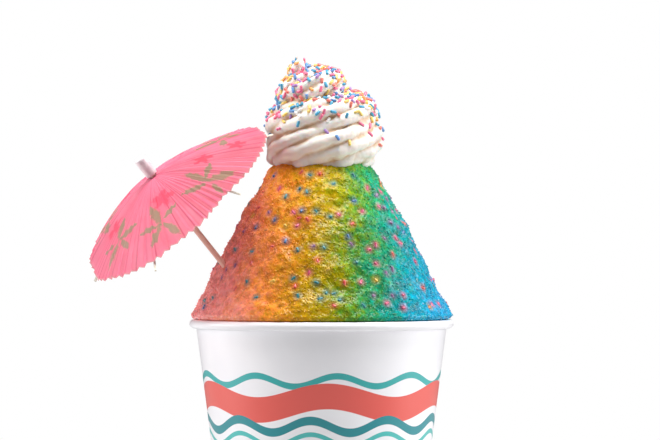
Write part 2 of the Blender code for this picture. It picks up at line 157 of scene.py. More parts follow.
def finishShader(tree, shader, colour, height, strength, depth):
    # the last links of a material: its colour, and a fine relief in its surface
    tree.links.new(colour, shader.inputs["Base Color"])
    bump = addNode(tree, "ShaderNodeBump", {"Strength": strength, "Distance": depth}, {"Height": height})
    tree.links.new(bump.outputs["Normal"], shader.inputs["Normal"])


def finishPiece(piece, material, slot, *replaced):
    piece.data.materials.clear()
    piece.data.materials.append(material)
    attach(piece, "root")
    if replaced:
        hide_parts(*replaced)


def vertexRows(mesh, name="co"):
    # the positions or normals of all vertices, one row each
    values = np.empty(len(mesh.vertices) * 3)
    mesh.vertices.foreach_get(name, values)
    return values.reshape(-1, 3)


spareDraws = 60  # places drawn for each one wanted, where they have to keep apart


def surfaceSpots(piece, count, rng, liking, spacing=0):
    # random places on a mesh by area and liking, kept apart by the spacing, with the normal at each
    mesh = piece.data
    mesh.calc_loop_triangles()
    points = vertexRows(mesh)
    corners = np.empty(len(mesh.loop_triangles) * 3, int)
    mesh.loop_triangles.foreach_get("vertices", corners)
    a, b, c = (points[corners[i::3]] for i in range(3))
    across = np.cross(b - a, c - a)
    size = np.linalg.norm(across, axis=1)
    normals = across / np.maximum(size, 1e-18)[:, None]
    share = size * liking((a + b + c) / 3, normals)
    drawn = rng.choice(len(size), count * (spareDraws if spacing else 1), p=share / share.sum())
    s, t = rng.random((2, len(drawn)))
    flip = s + t > 1
    s[flip], t[flip] = 1 - s[flip], 1 - t[flip]
    found = a[drawn] + (b - a)[drawn] * s[:, None] + (c - a)[drawn] * t[:, None]
    if not spacing:
        return found, normals[drawn]
    kept = []
    for i, point in enumerate(found):
        if not kept or np.linalg.norm(found[kept] - point, axis=1).min() > spacing:
            kept.append(i)
        if len(kept) == count:
            break
    return found[kept], normals[drawn][kept]


def layingTurns(normals, rng, tilt):
    # turns that lay a copy's X along the surface, at a random spin, and its Z along the normal
    up = normals + rng.normal(0, tilt, normals.shape)
    up /= np.linalg.norm(up, axis=1)[:, None]
    along = np.cross(up, rng.normal(0, 1, up.shape))
    along /= np.linalg.norm(along, axis=1)[:, None]
    return np.stack((along, np.cross(up, along), up), axis=2)


def stampCopies(name, model, spots, turns):
    # one mesh that holds a copy of the model at each spot
    mesh = model.data
    mesh.calc_loop_triangles()
    shape = vertexRows(mesh)
    faces = np.array([tri.vertices for tri in mesh.loop_triangles])
    points = np.einsum("nij,vj->nvi", turns, shape) + spots[:, None, :]
    allFaces = faces[None] + (np.arange(len(spots)) * len(shape))[:, None, None]
    return pieceFrom(name, points.reshape(-1, 3).tolist(), allFaces.reshape(-1, 3).tolist())


# Camera and light: a long lens, level with the heap, a softbox at each side and a stronger one overhead
view = {
    "pixel": 0.371 * mm,  # what one pixel of the frame spans at the cup's axis
    "distance": 1.6,
    "height": 136.8 * mm,
    "side": 3.15 * mm,
    "sensor": 36,
    "imageWidth": 660,
    "lookAt": 130 * mm,  # height that the softboxes face
}
light = {
    "leftPower": 11.8,
    "rightPower": 12,
    "sideSize": 0.8,
    "topPower": 19,
    "topSize": 0.7,
    "world": 0.1,
}

cameraData = bpy.data.cameras.new("camera")
cameraData.sensor_width = view["sensor"]
cameraData.lens = view["sensor"] * view["distance"] / view["pixel"] / view["imageWidth"]
camera = bpy.data.objects.new("camera", cameraData)
camera.location = (view["side"], -view["distance"], view["height"])
camera.rotation_euler = (math.radians(90), 0, 0)
bpy.context.scene.collection.objects.link(camera)
bpy.context.scene.camera = camera
bpy.context.scene.view_settings.view_transform = "Standard"

softboxes = (
    ("leftSoftbox", (-1.1, 0.0, 0.3), light["leftPower"], light["sideSize"]),
    ("rightSoftbox", (1.1, 0.05, 0.3), light["rightPower"], light["sideSize"]),
    ("topSoftbox", (0.1, -0.17, 1.1), light["topPower"], light["topSize"]),
)
for name, place, power, size in softboxes:
    lampData = bpy.data.lights.new(name, "AREA")
    lampData.shape = "SQUARE"
    lampData.size = size
    lampData.energy = power
    lamp = bpy.data.objects.new(name, lampData)
    lamp.location = place
    back = Vector(place) - Vector((0, 0, view["lookAt"]))
    lamp.rotation_euler = back.to_track_quat("Z", "Y").to_euler()
    bpy.context.scene.collection.objects.link(lamp)

world = bpy.data.worlds.new("studio")
bpy.context.scene.world = world
world.use_nodes = True
backdrop = world.node_tree.nodes["Background"]
backdrop.inputs["Color"].default_value = (1, 1, 1, 1)
seen = addNode(world.node_tree, "ShaderNodeLightPath")
level = addNode(
    world.node_tree,
    "ShaderNodeMapRange",
    {"To Min": light["world"], "To Max": 1.0},
    {"Value": seen.outputs["Is Camera Ray"]},
)
world.node_tree.links.new(level.outputs["Result"], backdrop.inputs["Strength"])

deselectAll()
bpy.ops.mesh.primitive_plane_add(size=2)
floor = bpy.context.object
floor.name = "floor"
floorPaint, _, _ = startMaterial("paleStudioFloor", {"Base Color": linear("bababa"), "Roughness": 0.8})
floor.data.materials.append(floorPaint)
print("camera, light and floor are ready")


# Paper cup: white coated board with a rolled rim, a seam at the back and a printed band
cup = {
    "height": 100 * mm,
    "baseRadius": 33.8 * mm,
    "taper": 0.13,
    "wall": 0.8 * mm,
    "footRound": 0.8 * mm,
    "rimRadius": 49 * mm,
    "rimRoll": 1.65 * mm,
    "rimSteps": 22,
    "steps": 180,
    "wallRings": 12,
    "seamWidth": 7 * mm,
    "seamStep": 0.3 * mm,
    "white": "f3f2f5",
}
# waves round the cup: height and swing in mm, waves in a turn, phase, half width in mm, ink
cupWaves = (
    (78.5, 1.9, 9, 0.4, 1.1, "2aa7a6"),
    (70.5, 2.6, 5, 1.3, 4.6, "e2584e"),
    (62.0, 2.2, 9, 2.4, 1.5, "0f8790"),
    (57.0, 2.2, 9, 2.4, 0.8, "45b8b4"),
    (49.0, 2.6, 5, 1.3, 3.4, "e2584e"),
)


def cupRadius(z):
    return cup["baseRadius"] + cup["taper"] * z


def makeCup():
    rollX = cup["rimRadius"] - cup["rimRoll"]
    rollZ = cup["height"] - cup["rimRoll"]
    points = [(0, cup["wall"]), (cupRadius(cup["wall"]) - cup["wall"], cup["wall"])]
    first, last = math.radians(180), math.radians(-125)
    for i in range(cup["rimSteps"] + 1):
        angle = first + (last - first) * i / cup["rimSteps"]
        points.append((rollX + cup["rimRoll"] * math.cos(angle), rollZ + cup["rimRoll"] * math.sin(angle)))
    top = points[-1][1]
    for i in range(cup["wallRings"] + 1):
        z = top - 0.3 * mm + (cup["footRound"] - top + 0.3 * mm) * i / cup["wallRings"]
        points.append((cupRadius(z), z))
    points += [(cup["baseRadius"] - cup["footRound"], 0), (0, 0)]
    piece = spinProfile("cupShell", points, cup["steps"])
    for vert in piece.data.vertices:  # the board's free edge laps over at the back
        r = math.hypot(vert.co.x, vert.co.y)
        under = cup["footRound"] < vert.co.z < top and r > cupRadius(vert.co.z) - 0.2 * mm
        if under and vert.co.y > 0 and abs(vert.co.x) < cup["seamWidth"] / 2:
            vert.co.x *= 1 + cup["seamStep"] / r
            vert.co.y *= 1 + cup["seamStep"] / r
    smoothByAngle(piece, 40)
    return piece


def coatedBoard():
    # polyethylene coated cup board, flexo printed: white, satin, ink a little uneven
    made, tree, shader = startMaterial(
        "coatedCupBoard",
        {"Roughness": 0.32, "IOR": 1.5, "Coat Weight": 0.25, "Coat Roughness": 0.2},
    )
    place = addNode(tree, "ShaderNodeTexCoord").outputs["Object"]
    parts = addNode(tree, "ShaderNodeSeparateXYZ", links={0: place}).outputs
    front = addNode(tree, "ShaderNodeMath", {1: -1}, {0: parts["Y"]}, operation="MULTIPLY")
    turn = addNode(tree, "ShaderNodeMath", links={0: parts["X"], 1: front.outputs[0]}, operation="ARCTAN2")
    fibre = addNode(tree, "ShaderNodeTexNoise", {"Scale": 900, "Detail": 3}, {"Vector": place})
    blotch = addNode(tree, "ShaderNodeTexNoise", {"Scale": 60, "Detail": 2}, {"Vector": place})
    shade = addNode(
        tree,
        "ShaderNodeValToRGB",
        links={"Fac": blotch.outputs["Fac"]},
        stops=((0.35, linear("efeef2")), (0.65, linear(cup["white"]))),
    )
    colour = shade.outputs["Color"]
    for height, swing, waves, phase, halfWidth, ink in cupWaves:
        wave = addNode(
            tree, "ShaderNodeMath", {1: waves, 2: phase}, {0: turn.outputs[0]}, operation="MULTIPLY_ADD"
        )
        wave = addNode(tree, "ShaderNodeMath", links={0: wave.outputs[0]}, operation="SINE")
        line = addNode(
            tree,
            "ShaderNodeMath",
            {1: swing * mm, 2: height * mm},
            {0: wave.outputs[0]},
            operation="MULTIPLY_ADD",
        )
        away = addNode(
            tree, "ShaderNodeMath", links={0: parts["Z"], 1: line.outputs[0]}, operation="SUBTRACT"
        )
        away = addNode(tree, "ShaderNodeMath", links={0: away.outputs[0]}, operation="ABSOLUTE")
        inside = addNode(
            tree,
            "ShaderNodeMapRange",
            {"From Min": halfWidth * mm, "From Max": (halfWidth + 0.15) * mm, "To Min": 1, "To Max": 0},
            {"Value": away.outputs[0]},
        )
        mix = addNode(
            tree,
            "ShaderNodeMix",
            {7: linear(ink)},
            {0: inside.outputs["Result"], 6: colour},
            data_type="RGBA",
        )
        colour = mix.outputs[2]
    finishShader(tree, shader, colour, fibre.outputs["Fac"], 0.15, 0.1 * mm)
    return made


finishPiece(makeCup(), coatedBoard(), "cup_paper", "cup")
print("cup is ready")


# Shaved ice: a fine grained heap, loose grains on it, and syrups in rainbow order across it
ice = {
    "clearance": 0.35 * mm,
    "neckRadius": 45.2 * mm,
    "lipRadius": 48.1 * mm,
    "lipHeight": 101.7 * mm,
    "shoulderRadius": 42.2 * mm,
    "shoulderHeight": 112 * mm,
    "browRadius": 18.8 * mm,
    "browHeight": 156 * mm,
    "crownRadius": 17.4 * mm,
    "crownHeight": 159.3 * mm,
    "crownDrop": 2 * mm,
    "crownRings": 12,
    "narrowing": 0.54,  # the heap's radius lost for each unit of height
    "bulge": 1.0 * mm,
    "clumpSize": 9 * mm,
    "clumpHeight": 1.1 * mm,
    "grainSize": 3.6 * mm,
    "grainHeight": 0.7 * mm,
    "crumbSize": 1.3 * mm,
    "crumbHeight": 0.5 * mm,
    "ringStep": 0.5 * mm,
    "slant": 1.12,  # the slope's length over its height
    "steps": 400,
    "grains": 12000,  # in each of the two grain pieces
    "grainRadius": (0.2 * mm, 0.46 * mm),
    "grainSkew": 1.8,  # higher makes more of them small
    "grainTilt": 0.5,
    "grainLift": (-0.6, 0.15),  # of a grain's own size, from sunk in to standing out
    "frostSkew": 5,  # higher leaves fewer grains without syrup
    "chips": 6,
    "chipKnock": (0.75, 1.2),
    "rods": 230,
    "rodSize": 0.86,
    "rodSpacing": 2.4 * mm,
    "rodSink": 0.2 * mm,
    "rodTilt": 0.35,
    "bleedReach": 2.5 * mm,
    "pickRoom": 3.5 * mm,
}
syrups = (  # place across the heap from left to right, and the ice's colour there
    (0.00, "ffa2a0"),
    (0.10, "ff9c92"),
    (0.19, "ff986c"),
    (0.27, "f89a40"),
    (0.34, "dc9420"),
    (0.42, "ca9c0c"),
    (0.50, "b49e08"),
    (0.56, "8c9a0c"),
    (0.60, "669422"),
    (0.65, "3e9648"),
    (0.71, "14966e"),
    (0.78, "0a968e"),
    (0.86, "0a9ab2"),
    (0.95, "209cc8"),
)
rodDyes = {  # soaked on the ice, fresh on the cream
    "pink": ("d85c80", "f67ea0"),
    "coral": ("de5a50", "f68678"),
    "blue": ("4c78a8", "6698d2"),
    "teal": ("34858a", "4ea8cc"),
    "yellow": ("e8c050", "fbd878"),
    "orange": ("e29448", "f8b468"),
    "purple": ("8e6690", "b088c8"),
    "white": ("f0e4d8", "f8f4f0"),
}


def crownTop(r):
    return ice["crownHeight"] - ice["crownDrop"] * (r / ice["crownRadius"]) ** 2


def heapProfile():
    points = [(0, ice["crownHeight"])]
    for i in range(1, ice["crownRings"] + 1):
        r = ice["crownRadius"] * i / ice["crownRings"]
        points.append((r, crownTop(r)))
    rise = ice["browHeight"] - ice["shoulderHeight"]
    rings = round(rise * ice["slant"] / ice["ringStep"])
    for i in range(rings + 1):
        share = 1 - i / rings
        straight = ice["shoulderRadius"] + (ice["browRadius"] - ice["shoulderRadius"]) * share
        r = straight + ice["bulge"] * math.sin(math.pi * share)
        points.append((r, ice["shoulderHeight"] + rise * share))
    rings = round((ice["shoulderHeight"] - ice["lipHeight"]) * ice["slant"] / ice["ringStep"])
    for i in range(1, rings + 1):
        share = i / rings
        r = ice["shoulderRadius"] + (ice["lipRadius"] - ice["shoulderRadius"]) * share
        points.append((r, ice["shoulderHeight"] + (ice["lipHeight"] - ice["shoulderHeight"]) * share))
    underside = cup["height"] + 0.05 * mm
    bottom = cup["wall"] + ice["clearance"]
    points += [
        (ice["lipRadius"] - 0.4 * mm, underside + 0.5 * mm),
        (ice["neckRadius"] + 1 * mm, underside),
        (ice["neckRadius"], underside - 0.6 * mm),
        (ice["neckRadius"], cup["height"] - 2 * cup["rimRoll"]),
        (cupRadius(bottom) - cup["wall"] - ice["clearance"], bottom),
        (0, bottom),
    ]
    return points


def iceRelief(place):
    # clumps and grains as in the solid, and finer crumbs that only the scene has
    if not ice["lipHeight"] - 0.1 * mm < place.z < ice["browHeight"] + 2 * mm:
        return 0
    clump = ice["clumpHeight"] * noise.noise(place / ice["clumpSize"])
    grain = ice["grainHeight"] * noise.noise(place / ice["grainSize"])
    crumb = ice["crumbHeight"] * (0.5 - noise.voronoi(place / ice["crumbSize"])[0][0])
    foot = min(1, (place.z - ice["lipHeight"]) / (6 * mm) + 0.35)
    return (clump + grain) * foot + crumb


def grainModels(rng):
    # a few chips of ice, each knocked into its own shape
    models = []
    for i in range(ice["chips"]):
        deselectAll()
        bpy.ops.mesh.primitive_ico_sphere_add(subdivisions=1, radius=1)
        chip = bpy.context.object
        bpy.ops.object.mode_set(mode="EDIT")
        bpy.ops.transform.resize(value=(1.25 + 0.1 * i, 0.85, 0.55 + 0.06 * i), center_override=(0, 0, 0))
        bpy.ops.object.mode_set(mode="OBJECT")
        for vert in chip.data.vertices:
            vert.co *= rng.uniform(*ice["chipKnock"])
        models.append(chip)
    return models


def exposedIce(points, normals):
    # from just under the lip to just over the brow
    return (points[:, 2] > ice["lipHeight"] - 0.8 * mm) & (points[:, 2] < ice["browHeight"] + 1.5 * mm)


def makeGrains(heap, number, models, rng):
    spots, normals = surfaceSpots(heap, ice["grains"], rng, exposedIce)
    turns = layingTurns(normals, rng, ice["grainTilt"])
    low, high = ice["grainRadius"]
    sizes = low + (high - low) * rng.random(len(spots)) ** ice["grainSkew"]
    spots = spots + normals * (sizes * rng.uniform(*ice["grainLift"], len(spots)))[:, None]
    groups = np.array_split(np.arange(len(spots)), len(models))
    turns = turns * sizes[:, None, None]
    parts = [stampCopies("chips", model, spots[g], turns[g]) for model, g in zip(models, groups)]
    deselectAll()
    for part in parts:
        part.select_set(True)
    bpy.context.view_layer.objects.active = parts[0]
    bpy.ops.object.join()
    piece = bpy.context.object
    piece.name = f"iceGrains{number}"
    frost = np.repeat(rng.random(len(spots)) ** ice["frostSkew"], len(models[0].data.vertices))
    piece.data.attributes.new("frost", "FLOAT", "POINT").data.foreach_set("value", frost)
    return piece


sugar = {
    "radius": 0.56 * mm,
    "length": 1.7 * mm,
    "sides": 10,
    "ends": ((0.22 * mm, 0.82), (0.14 * mm, 0.45)),  # each step out, and how far it is drawn in
}


def rodModel():
    # a short extruded sugar rod with rounded ends, lying along X
    deselectAll()
    bpy.ops.mesh.primitive_cylinder_add(
        vertices=sugar["sides"], radius=sugar["radius"], depth=sugar["length"], rotation=(0, math.pi / 2, 0)
    )
    rod = bpy.context.object
    bpy.ops.object.transform_apply(location=True, rotation=True, scale=True)
    bpy.ops.object.mode_set(mode="EDIT")
    bpy.ops.mesh.select_mode(type="FACE")
    for side in (-1, 1):
        bpy.ops.mesh.select_all(action="DESELECT")
        edit = bmesh.from_edit_mesh(rod.data)
        for face in edit.faces:
            face.select = face.normal.x * side > 0.9
        bmesh.update_edit_mesh(rod.data)
        for out, shrink in sugar["ends"]:
            bpy.ops.mesh.extrude_region_move(TRANSFORM_OT_translate={"value": (side * out, 0, 0)})
            bpy.ops.transform.resize(value=(1, shrink, shrink), center_override=(0, 0, 0))
    bpy.ops.object.mode_set(mode="OBJECT")
    sortFaces(rod)
    return rod


def dyeWeights(across):
    # which rods show on which syrup: greens and blues on the warm side, pinks and corals on the cool
    warm = np.clip((0.1 - across) * 2, 0, 1)
    cool = np.clip((across - 0.1) * 2, 0, 1)
    mid = 1 - warm - cool
    return {
        "pink": 0.15 + 0.15 * warm + 1.2 * cool,
        "coral": 0.15 + 0.8 * mid + 0.25 * warm + 0.15 * cool,
        "blue": 0.12 + 0.25 * warm,
        "teal": 0.2 + 0.9 * warm + 1.1 * mid,
        "purple": 0.12 + 0.7 * cool + 0.3 * warm,
        "yellow": 0.06,
        "orange": 0.06,
        "white": 0,  # only on the cream
    }


def makeIceRods(heap, rod, rng):
    def clear(points, normals):
        # off the foot and the brow, and away from the parasol's pick
        high = (points[:, 2] > ice["lipHeight"] + 2.5 * mm) & (points[:, 2] < ice["browHeight"] - 1 * mm)
        hub, up = np.array(parasolFrame.translation), np.array(parasolFrame.col[2].to_3d())
        away = np.linalg.norm(np.cross(points - hub, up), axis=1)
        return high & (away > ice["pickRoom"])

    spots, normals = surfaceSpots(heap, ice["rods"], rng, clear, ice["rodSpacing"])
    turns = layingTurns(normals, rng, ice["rodTilt"])
    piece = stampCopies("iceSugarRods", rod, spots - normals * ice["rodSink"], turns * ice["rodSize"])
    dyes = []
    for point in spots:
        halfWidth = ice["lipRadius"] - (point[2] - ice["lipHeight"]) * ice["narrowing"]
        weights = dyeWeights(point[0] / halfWidth)
        share = np.array(list(weights.values()))
        dyes.append(list(weights)[rng.choice(len(share), p=share / share.sum())])
    return piece, spots, dyes


def addBleed(piece, spots, dyes):
    # how much dye each point of the ice has taken from the nearest rod
    points = vertexRows(piece.data)
    bleed = np.zeros((len(points), 4))
    for spot, dye in zip(spots, dyes):
        away = np.linalg.norm(points - spot, axis=1)
        near = np.clip(1 - away / ice["bleedReach"], 0, 1) ** 1.3
        stronger = near > bleed[:, 3]
        bleed[stronger, :3] = linear(rodDyes[dye][0])[:3]
        bleed[stronger, 3] = near[stronger]
    piece.data.attributes.new("bleed", "FLOAT_COLOR", "POINT").data.foreach_set("color", bleed.ravel())


def syrupedIce(name, loose):
    # shaved ice soaked in syrup: milky, wet, with glints from its chips
    made, tree, shader = startMaterial(
        name,
        {
            "Roughness": 0.22,
            "IOR": 1.31,
            "Subsurface Weight": 0.15 if loose else 0.85,
            "Subsurface Radius": (1.0, 0.85, 0.7),
            "Subsurface Scale": (0.4 if loose else 3.5) * mm,
            "Specular IOR Level": 0.35,
            "Coat Weight": 0.08,
            "Coat Roughness": 0.07,
            "Coat IOR": 1.33,
        },
    )
    place = addNode(tree, "ShaderNodeTexCoord").outputs["Object"]
    parts = addNode(tree, "ShaderNodeSeparateXYZ", links={0: place}).outputs
    rise = addNode(
        tree,
        "ShaderNodeMapRange",
        {"From Min": ice["lipHeight"], "From Max": ice["browHeight"]},
        {"Value": parts["Z"]},
    ).outputs["Result"]
    width = addNode(
        tree,
        "ShaderNodeMapRange",
        {"To Min": ice["lipRadius"], "To Max": ice["browRadius"]},
        {"Value": rise},
    )
    across = addNode(
        tree, "ShaderNodeMath", links={0: parts["X"], 1: width.outputs["Result"]}, operation="DIVIDE"
    ).outputs[0]
    fan = addNode(  # the bands fan out from the top, where only the middle syrups show
        tree,
        "ShaderNodeValToRGB",
        links={"Fac": rise},
        stops=((0, (0.5, 0.5, 0.5, 1)), (0.5, (0.37, 0.37, 0.37, 1)), (1, (0.21, 0.21, 0.21, 1))),
    )
    middle = addNode(tree, "ShaderNodeMapRange", {"To Min": 0.485, "To Max": 0.46}, {"Value": rise})
    where = addNode(
        tree,
        "ShaderNodeMath",
        links={0: across, 1: fan.outputs["Color"], 2: middle.outputs["Result"]},
        operation="MULTIPLY_ADD",
    ).outputs[0]
    for scale, amount in ((75, 0.18), (330, 0.19), (1100, 0.11)):  # 13 mm, 3 mm and 0.9 mm patches
        patch = addNode(tree, "ShaderNodeTexNoise", {"Scale": scale, "Detail": 2}, {"Vector": place})
        shifted = addNode(
            tree, "ShaderNodeMath", {1: -0.5}, {0: patch.outputs["Fac"]}, operation="ADD"
        )
        where = addNode(
            tree,
            "ShaderNodeMath",
            {1: amount},
            {0: shifted.outputs[0], 2: where},
            operation="MULTIPLY_ADD",
        ).outputs[0]
    syrup = addNode(
        tree,
        "ShaderNodeValToRGB",
        links={"Fac": where},
        stops=[(at, linear(hexColour)) for at, hexColour in syrups],
    ).outputs["Color"]
    dry = addNode(tree, "ShaderNodeTexNoise", {"Scale": 110, "Detail": 4}, {"Vector": place})
    dryness = addNode(
        tree,
        "ShaderNodeMapRange",
        {"From Min": 0.56, "From Max": 0.8, "To Max": 0.08},
        {"Value": dry.outputs["Fac"]},
    ).outputs["Result"]
    if loose:
        frost = addNode(tree, "ShaderNodeAttribute", attribute_name="frost").outputs["Fac"]
        dryness = addNode(
            tree, "ShaderNodeMath", {1: 0.18}, {0: frost, 2: dryness}, operation="MULTIPLY_ADD"
        ).outputs[0]
    pale = addNode(
        tree,
        "ShaderNodeMix",
        {7: linear("faeeb0")},
        {0: dryness, 6: syrup},
        data_type="RGBA",
        clamp_factor=True,
    ).outputs[2]
    bleed = addNode(tree, "ShaderNodeAttribute", attribute_name="bleed")
    soaked = addNode(
        tree, "ShaderNodeMath", {1: 0.85}, {0: bleed.outputs["Alpha"]}, operation="MULTIPLY"
    )
    stained = addNode(
        tree,
        "ShaderNodeMix",
        {},
        {0: soaked.outputs[0], 6: pale, 7: bleed.outputs["Color"]},
        data_type="RGBA",
    ).outputs[2]
    chips = addNode(tree, "ShaderNodeTexVoronoi", {"Scale": 900}, {"Vector": place})
    tone = addNode(
        tree,
        "ShaderNodeMapRange",
        {"To Min": 0.85, "To Max": 1.12},
        {"Value": chips.outputs["Color"]},
    )
    pools = addNode(tree, "ShaderNodeTexNoise", {"Scale": 420, "Detail": 3}, {"Vector": place})
    pooled = addNode(
        tree,
        "ShaderNodeMapRange",
        {"From Min": 0.35, "From Max": 0.65, "To Min": 0.8, "To Max": 1.12},
        {"Value": pools.outputs["Fac"]},
    )
    paintedTopLift = addNode(  # painted light: the top is made paler to offset the shade that the cream's overhang casts on it
        tree, "ShaderNodeMapRange", {"From Min": 0.6, "To Min": 1, "To Max": 1.4}, {"Value": rise}
    )
    tone = tone.outputs["Result"]
    for factor in (pooled, paintedTopLift):
        tone = addNode(
            tree, "ShaderNodeMath", links={0: tone, 1: factor.outputs["Result"]}, operation="MULTIPLY"
        ).outputs[0]
    toned = addNode(
        tree,
        "ShaderNodeMix",
        {0: 1},
        {6: stained, 7: tone},
        data_type="RGBA",
        blend_type="MULTIPLY",
    ).outputs[2]
    finishShader(tree, shader, toned, chips.outputs["Distance"], 0.7, 0.25 * mm)
    return made


def sugarRod(name, dye, wet):
    # pressed sugar rod with a thin glaze; on wet ice it has softened and lost some colour
    made, tree, shader = startMaterial(
        name,
        {
            "Roughness": 0.28 if wet else 0.4,
            "IOR": 1.5,
            "Subsurface Weight": 0.2,
            "Subsurface Radius": (1, 1, 1),
            "Subsurface Scale": 0.4 * mm,
            "Coat Weight": 0.4 if wet else 0.15,
            "Coat Roughness": 0.15,
        },
    )
    place = addNode(tree, "ShaderNodeTexCoord").outputs["Object"]
    speck = addNode(tree, "ShaderNodeTexNoise", {"Scale": 1500, "Detail": 3}, {"Vector": place})
    deep = [c * 0.72 for c in linear(dye)[:3]] + [1]
    shade = addNode(
        tree,
        "ShaderNodeValToRGB",
        links={"Fac": speck.outputs["Fac"]},
        stops=((0.3, deep), (0.62, linear(dye))),
    )
    finishShader(tree, shader, shade.outputs["Color"], speck.outputs["Fac"], 0.4, 0.08 * mm)
    return made


def dressRods(piece, rod, dyes, wet):
    # one material for each dye, given to the faces of the rods that have it
    names = list(rodDyes)
    piece.data.materials.clear()
    for name, (soaked, fresh) in rodDyes.items():
        title = f"sugarRod{'Wet' if wet else 'Dry'}{name.capitalize()}"
        piece.data.materials.append(sugarRod(title, soaked if wet else fresh, wet))
    rod.data.calc_loop_triangles()
    each = len(rod.data.loop_triangles)
    index = np.repeat([names.index(dye) for dye in dyes], each)
    piece.data.polygons.foreach_set("material_index", index)
    smoothByAngle(piece, 50)
    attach(piece, "root")


# Sizes and place of the parasol, which stand here because the ice's rods keep clear of its pick
parasol = {
    "hub": (-61.4 * mm, -26 * mm, 152.9 * mm),
    "slope": 52,
    "lean": 17.3,
    "radius": 42 * mm,
    "drop": 13.9 * mm,
    "curve": 1.55,
    "eye": 1.3 * mm,
    "paper": 0.14 * mm,
    "pleats": 72,
    "columns": 6,  # in one pleat
    "rings": 44,
    "pleatHeight": 0.5 * mm,
    "foldJog": 0.22,  # how far the folds stray, over the width of a fold
    "foldDepths": (0.6, 1.35),  # over the pleat height
    "edgeNick": 0.25 * mm,
    "creaseShadeSkew": 1.6,  # higher leaves fewer creases with painted shade
    "sheet": 100 * mm,  # what the flat paper's UV map spans
    # edge radius over the canopy's radius, every 30 degrees
    "edgeReach": (0.99, 1.03, 1.02, 1.02, 1.06, 0.96, 0.91, 1.0, 1.04, 0.95, 0.82, 0.92),
    "capRadius": 2.25 * mm,
    "capBore": 1.45 * mm,
    "capLength": 7.8 * mm,
    "capLift": 0.75 * mm,
}


def parasolMatrix():
    slope, lean = math.radians(parasol["slope"]), math.radians(parasol["lean"])
    down = Vector((math.cos(slope) * math.cos(lean), math.sin(lean), -math.sin(slope) * math.cos(lean)))
    side = down.cross(Vector((0, 1, 0))).normalized()
    up = -down
    return Matrix.Translation(parasol["hub"]) @ Matrix((side, up.cross(side), up)).transposed().to_4x4()


parasolFrame = parasolMatrix()
rng = np.random.default_rng(seed)
heap = spinProfile("iceHeap", heapProfile(), ice["steps"])
pushOut(heap, iceRelief)
smoothByAngle(heap, 60)
chips = grainModels(rng)
looseGrains = [makeGrains(heap, number, chips, rng) for number in (1, 2)]
rod = rodModel()
iceRods, rodSpots, iceDyes = makeIceRods(heap, rod, rng)
for piece in [heap] + looseGrains:
    addBleed(piece, rodSpots, iceDyes)
finishPiece(heap, syrupedIce("syrupedIce", False), "shaved_ice", "ice")
chipIce = syrupedIce("syrupedIceChips", True)
for piece in looseGrains:
    finishPiece(piece, chipIce, "shaved_ice")
dressRods(iceRods, rod, iceDyes, True)
print("ice is ready")


# Whipped cream: one star piped rope, coiled up and pulled off to a peak on the left
cream = {
    "startAngle": -152,
    "rings": 420,
    "sides": 96,
    "lobes": 8,
    "groove": 0.27,
    "grooveChange": 7 * mm,  # size of the stretches in which grooves are deeper or shallower
    "twist": 0.8,
    "coreRadius": 11 * mm,
    "footTop": 164 * mm,
    "footHeight": 6 * mm,
    "footLobes": 9,
    "footSwell": 1.1 * mm,
    "dents": ((0.5 * mm, 5 * mm), (0.12 * mm, 1.4 * mm)),  # depth and size
    "voxel": 0.36 * mm,
    "foldRounds": 60,
    "foldDepth": 1.2 * mm,
    "rods": 470,
    "rodSpacing": 1.35 * mm,
    "rodLift": 0.2 * mm,
    "rodTilt": 0.3,
    "rodsFrom": 166 * mm,  # the height above which rods get thicker, and how far up it goes on
    "rodsRise": 18 * mm,
    "dyeShares": {
        "pink": 20,
        "coral": 13,
        "blue": 12,
        "teal": 14,
        "yellow": 12,
        "orange": 10,
        "purple": 7,
        "white": 6,
    },
}
# turns round the coil, coil radius, rope radius, height, sideways lean; all but the first in mm
ropeStations = (
    (0.0, 12.2, 6.6, 160.6, 0.0),
    (0.9, 13.0, 7.9, 163.4, 0.2),
    (1.4, 14.1, 8.9, 166.9, 0.2),
    (1.9, 12.5, 8.5, 171.6, 0.0),
    (2.4, 12.4, 8.0, 175.8, 0.8),
    (2.9, 8.8, 7.5, 182.6, -0.6),
    (3.4, 5.4, 6.6, 187.2, -3.4),
    (3.75, 3.4, 5.0, 190.4, -5.6),
    (4.0, 1.6, 2.6, 194.0, -7.0),
    (4.2, 0.4, 0.6, 198.0, -8.2),
)


def station(turns):
    for low, high in zip(ropeStations, ropeStations[1:]):
        if turns <= high[0]:
            break
    share = (turns - low[0]) / (high[0] - low[0])
    return [(a + (b - a) * share) * mm for a, b in zip(low[1:], high[1:])]


def ropePoint(turns):
    coil, _, height, lean = station(turns)
    angle = math.radians(cream["startAngle"]) + 2 * math.pi * turns
    return Vector((lean + coil * math.cos(angle), coil * math.sin(angle), height))


